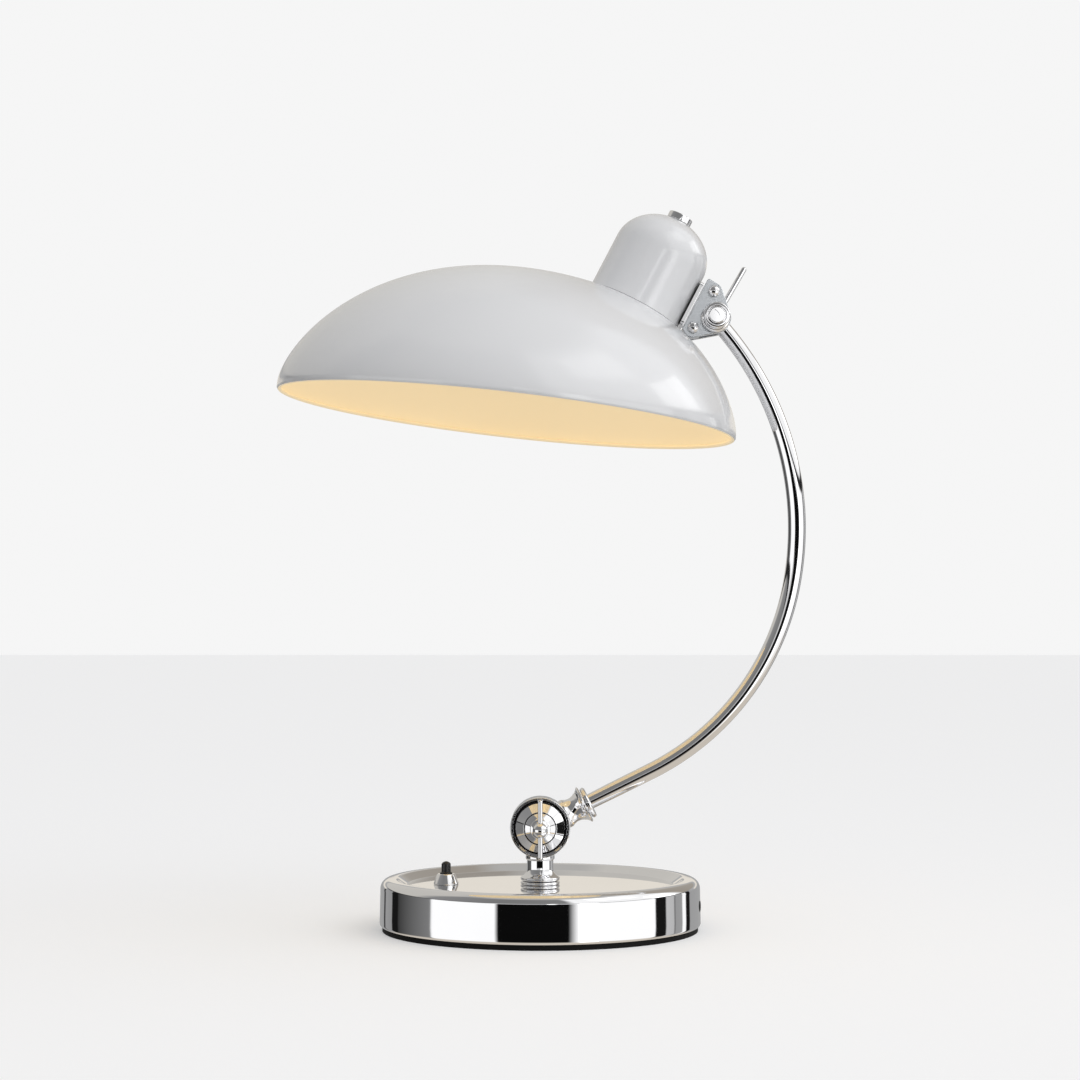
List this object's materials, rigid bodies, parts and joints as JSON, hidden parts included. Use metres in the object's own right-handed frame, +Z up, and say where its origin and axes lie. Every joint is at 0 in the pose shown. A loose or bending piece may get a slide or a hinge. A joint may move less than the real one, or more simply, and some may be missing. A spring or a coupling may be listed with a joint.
{
  "type": "dome shade desk lamp",
  "caption": "Desk lamp with a weighted round chrome base, a bowed chrome arm on a clamped hub, and a wide white dome shade that tilts on a levered pivot.",
  "frame": {"origin": "centre of the underside of the base pad", "axes": "+Z up out of the base, +X towards the side the arm bows out to, +Y to the back, square to the plane the arm and shade move in"},
  "size_m": [0.3269, 0.2852, 0.4445],
  "materials": {
    "polished_chrome": "polished",
    "white_lacquer": "gloss",
    "black_rubber": "matte",
    "grey_iron": "sand cast",
    "plated_steel": "zinc plated",
    "black_plastic": "satin",
    "brass": "bright",
    "cream_ceramic": "gloss",
    "opal_glass": "opal",
    "cap_aluminium": "bright",
    "fibre": "matte"
  },
  "bodies": {
    "base": {"base_cover": "polished_chrome", "base_weight": "grey_iron", "base_plate": "plated_steel", "base_pad": "black_rubber", "plate_screws": "plated_steel", "cable_bush": "black_plastic", "switch_collar": "polished_chrome", "switch_sleeve": "black_plastic", "switch_body": "black_plastic", "switch_nut": "plated_steel", "stem_foot": "polished_chrome", "foot_washer": "plated_steel", "foot_nut": "plated_steel"},
    "button": {"switch_button": "black_plastic"},
    "stem": {"stem": "polished_chrome", "stem_grub_screw": "plated_steel", "friction_washer": "fibre"},
    "clamp": {"clamp_knob": "polished_chrome", "tommy_bar": "polished_chrome"},
    "arm": {"arm_hub": "polished_chrome", "hub_bolt": "polished_chrome", "collar_nut": "polished_chrome", "arm_tube": "polished_chrome", "arm_eye": "polished_chrome"},
    "head": {"shade": "white_lacquer", "neck": "white_lacquer", "neck_knob": "polished_chrome", "nipple": "brass", "nipple_nut": "plated_steel", "holder_cup": "plated_steel", "holder_cap": "cream_ceramic", "holder_body": "cream_ceramic", "holder_shell": "brass", "holder_contact": "brass", "bulb_cap": "cap_aluminium", "bulb_envelope": "opal_glass", "bracket_base": "polished_chrome", "front_cheek": "polished_chrome", "rear_cheek": "polished_chrome", "bracket_screws": "polished_chrome", "bracket_nuts": "polished_chrome", "neck_screws": "plated_steel", "pivot_boss": "polished_chrome", "pivot_bolt": "polished_chrome"},
    "lever": {"lever_nut": "polished_chrome", "lever_pin": "polished_chrome"}
  },
  "joints": [
    {"name": "stem_swivel", "type": "hinge", "parent": "base", "child": "stem", "pos_m": [0, 0, 0.04], "axis": [0, 0, 1], "range_deg": [-160, 160]},
    {"name": "arm_tilt", "type": "hinge", "parent": "stem", "child": "arm", "pos_m": [0, 0, 0.0628], "axis": [0, 1, 0], "range_deg": [-40, 22]},
    {"name": "hub_clamp", "type": "hinge", "parent": "arm", "child": "clamp", "pos_m": [0, -0.02, 0.0628], "axis": [0, 1, 0], "range_deg": [-180, 180]},
    {"name": "shade_tilt", "type": "hinge", "parent": "arm", "child": "head", "pos_m": [0.10859, 0, 0.37644], "axis": [0, 1, 0], "range_deg": [-12, 60]},
    {"name": "tilt_lever", "type": "hinge", "parent": "head", "child": "lever", "pos_m": [0.10859, 0.014, 0.37644], "axis": [0, 1, 0], "range_deg": [-25, 100]},
    {"name": "switch_press", "type": "slide", "parent": "base", "child": "button", "axis": [0, 0, -1], "range_m": [0, 0.003], "stiffness_N_per_m": 400}
  ]
}
